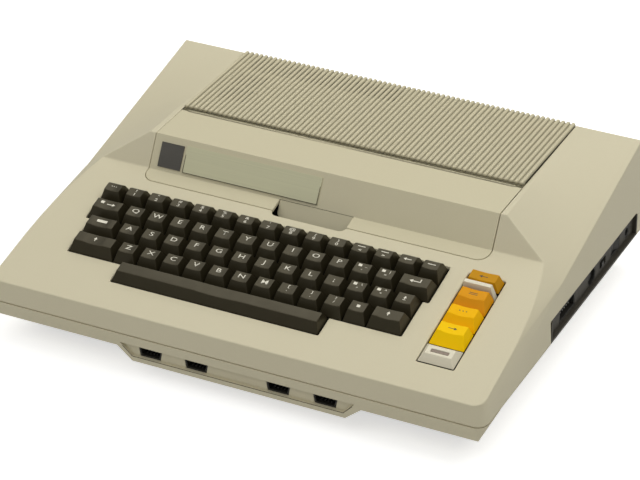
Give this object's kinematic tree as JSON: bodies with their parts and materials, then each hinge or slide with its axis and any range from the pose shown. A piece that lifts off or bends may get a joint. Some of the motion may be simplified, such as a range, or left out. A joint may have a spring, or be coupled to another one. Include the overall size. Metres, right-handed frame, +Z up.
{
  "type": "vintage home computer",
  "caption": "Beige home computer with a sloping keyboard deck, a hinged cartridge door and a ribbed lift-off cover over its plug-in modules.",
  "frame": {"origin": "on the table, under the middle of the case", "axes": "+X to the right along the keyboard, +Y from the front edge to the rear, +Z up"},
  "size_m": [0.407, 0.318, 0.1139],
  "materials": {
    "case_beige": "fine moulded grain, satin",
    "cover_tan": "fine moulded grain, satin, a shade darker and browner than the case",
    "rubber": "matt",
    "steel": "zinc plated",
    "badge_dark": "satin dark print on aluminium",
    "badge_metal": "brushed, lacquered",
    "black_plastic": "satin",
    "red_plastic": "glossy, translucent",
    "cast_aluminium": "as cast, dull",
    "board_green": "solder mask, semi gloss",
    "module_brown": "moulded, satin",
    "capacitor_blue": "shrunk sleeve, glossy",
    "key_dark": "satin, tops a little shiny",
    "key_yellow": "satin",
    "key_orange": "satin",
    "key_amber": "satin"
  },
  "bodies": {
    "base": {"bottom_case": "case_beige", "top_case": "case_beige", "rubber_feet": "rubber", "case_screws": "steel", "door_hinge_pins": "steel", "bay_frame": "black_plastic", "cartridge_guides": "black_plastic", "cartridge_connectors": "black_plastic", "interlock_switch": "black_plastic", "cast_shield": "cast_aluminium", "main_board": "board_green", "cpu_board": "board_green", "rom_module": "module_brown", "memory_modules": "module_brown", "module_sockets": "black_plastic", "power_board": "board_green", "heat_sink": "cast_aluminium", "filter_capacitors": "capacitor_blue", "rf_modulator": "cast_aluminium", "side_bezel": "black_plastic", "peripheral_port": "black_plastic", "monitor_jack": "black_plastic", "channel_switch": "cast_aluminium", "power_switch": "black_plastic", "power_jack": "black_plastic", "controller_ports": "black_plastic", "speaker": "black_plastic", "power_led": "red_plastic", "keyboard_plate": "black_plastic", "keyboard_board": "board_green", "key_switches": "black_plastic", "console_bezel": "case_beige", "cable_grommet": "rubber"},
    "door": {"cartridge_door": "cover_tan", "badge_square": "badge_dark", "badge_plate": "badge_metal"},
    "latch": {"door_latch": "cover_tan"},
    "cover": {"memory_cover": "cover_tan"},
    "left_catch": {"cover_latch_left": "black_plastic"},
    "right_catch": {"cover_latch_right": "black_plastic"},
    "plunger": {"interlock_plunger": "red_plastic"},
    "slider": {"channel_slider": "black_plastic"},
    "rocker": {"power_rocker": "black_plastic"},
    "start_key": {"start_key": "key_yellow"},
    "select_key": {"select_key": "key_yellow"},
    "option_key": {"option_key": "key_orange"},
    "reset_key": {"reset_key": "key_amber"},
    "space_bar": {"space_bar": "key_dark"},
    "tab_key": {"tab_key": "key_dark"},
    "return_key": {"return_key": "key_dark"},
    "control_key": {"control_key": "key_dark"},
    "caps_key": {"caps_key": "key_dark"},
    "left_shift_key": {"left_shift_key": "key_dark"},
    "right_shift_key": {"right_shift_key": "key_dark"},
    "escape_key": {"escape_key": "key_dark"},
    "break_key": {"break_key": "key_dark"},
    "digit_row": {"digit_keys": "key_dark"},
    "upper_letter_row": {"upper_letter_keys": "key_dark"},
    "home_letter_row": {"home_letter_keys": "key_dark"},
    "lower_letter_row": {"lower_letter_keys": "key_dark"}
  },
  "joints": [
    {"name": "door_hinge", "type": "hinge", "parent": "base", "child": "door", "pos_m": [0, 0.0454, 0.10866], "axis": [-1, 0, 0], "range_deg": [0, 96]},
    {"name": "latch_slide", "type": "slide", "parent": "base", "child": "latch", "axis": [0, -1, 0], "range_m": [0, 0.004], "stiffness_N_per_m": 200, "springref_m": -0.003},
    {"name": "cover_lift", "type": "slide", "parent": "base", "child": "cover", "axis": [0, 0, 1], "range_m": [0, 0.06]},
    {"name": "left_catch_slide", "type": "slide", "parent": "cover", "child": "left_catch", "axis": [1, 0, 0], "range_m": [0, 0.006]},
    {"name": "right_catch_slide", "type": "slide", "parent": "cover", "child": "right_catch", "axis": [-1, 0, 0], "range_m": [0, 0.006]},
    {"name": "interlock_slide", "type": "slide", "parent": "base", "child": "plunger", "axis": [0, 0, 1], "range_m": [0, 0.003]},
    {"name": "channel_slide", "type": "slide", "parent": "base", "child": "slider", "axis": [0, 1, 0], "range_m": [0, 0.004]},
    {"name": "power_rock", "type": "hinge", "parent": "base", "child": "rocker", "pos_m": [0.1973, 0.102, 0.0441], "axis": [0, 0, 1], "range_deg": [0, 12]},
    {"name": "start_key_press", "type": "slide", "parent": "base", "child": "start_key", "axis": [0, 0.2284, -0.9736], "range_m": [0, 0.0038], "stiffness_N_per_m": 157, "springref_m": -0.0025},
    {"name": "select_key_press", "type": "slide", "parent": "base", "child": "select_key", "axis": [0, 0.2284, -0.9736], "range_m": [0, 0.0038], "stiffness_N_per_m": 157, "springref_m": -0.0025},
    {"name": "option_key_press", "type": "slide", "parent": "base", "child": "option_key", "axis": [0, 0.2284, -0.9736], "range_m": [0, 0.0038], "stiffness_N_per_m": 157, "springref_m": -0.0025},
    {"name": "reset_key_press", "type": "slide", "parent": "base", "child": "reset_key", "axis": [0, 0.2284, -0.9736], "range_m": [0, 0.0038], "stiffness_N_per_m": 157, "springref_m": -0.0025},
    {"name": "space_bar_press", "type": "slide", "parent": "base", "child": "space_bar", "axis": [0, 0.2284, -0.9736], "range_m": [0, 0.0038], "stiffness_N_per_m": 314, "springref_m": -0.0025},
    {"name": "tab_key_press", "type": "slide", "parent": "base", "child": "tab_key", "axis": [0, 0.2284, -0.9736], "range_m": [0, 0.0038], "stiffness_N_per_m": 157, "springref_m": -0.0025},
    {"name": "return_key_press", "type": "slide", "parent": "base", "child": "return_key", "axis": [0, 0.2284, -0.9736], "range_m": [0, 0.0038], "stiffness_N_per_m": 157, "springref_m": -0.0025},
    {"name": "control_key_press", "type": "slide", "parent": "base", "child": "control_key", "axis": [0, 0.2284, -0.9736], "range_m": [0, 0.0038], "stiffness_N_per_m": 157, "springref_m": -0.0025},
    {"name": "caps_key_press", "type": "slide", "parent": "base", "child": "caps_key", "axis": [0, 0.2284, -0.9736], "range_m": [0, 0.0038], "stiffness_N_per_m": 157, "springref_m": -0.0025},
    {"name": "left_shift_key_press", "type": "slide", "parent": "base", "child": "left_shift_key", "axis": [0, 0.2284, -0.9736], "range_m": [0, 0.0038], "stiffness_N_per_m": 157, "springref_m": -0.0025},
    {"name": "right_shift_key_press", "type": "slide", "parent": "base", "child": "right_shift_key", "axis": [0, 0.2284, -0.9736], "range_m": [0, 0.0038], "stiffness_N_per_m": 157, "springref_m": -0.0025},
    {"name": "escape_key_press", "type": "slide", "parent": "base", "child": "escape_key", "axis": [0, 0.2284, -0.9736], "range_m": [0, 0.0038], "stiffness_N_per_m": 157, "springref_m": -0.0025},
    {"name": "break_key_press", "type": "slide", "parent": "base", "child": "break_key", "axis": [0, 0.2284, -0.9736], "range_m": [0, 0.0038], "stiffness_N_per_m": 157, "springref_m": -0.0025},
    {"name": "digit_row_press", "type": "slide", "parent": "base", "child": "digit_row", "axis": [0, 0.2284, -0.9736], "range_m": [0, 0.0038], "stiffness_N_per_m": 2041, "springref_m": -0.0025},
    {"name": "upper_letter_row_press", "type": "slide", "parent": "base", "child": "upper_letter_row", "axis": [0, 0.2284, -0.9736], "range_m": [0, 0.0038], "stiffness_N_per_m": 1884, "springref_m": -0.0025},
    {"name": "home_letter_row_press", "type": "slide", "parent": "base", "child": "home_letter_row", "axis": [0, 0.2284, -0.9736], "range_m": [0, 0.0038], "stiffness_N_per_m": 1884, "springref_m": -0.0025},
    {"name": "lower_letter_row_press", "type": "slide", "parent": "base", "child": "lower_letter_row", "axis": [0, 0.2284, -0.9736], "range_m": [0, 0.0038], "stiffness_N_per_m": 1727, "springref_m": -0.0025}
  ],
  "couplings": [
    {"joint": "interlock_slide", "follows": "door_hinge", "m_per_rad": 0.001731}
  ]
}
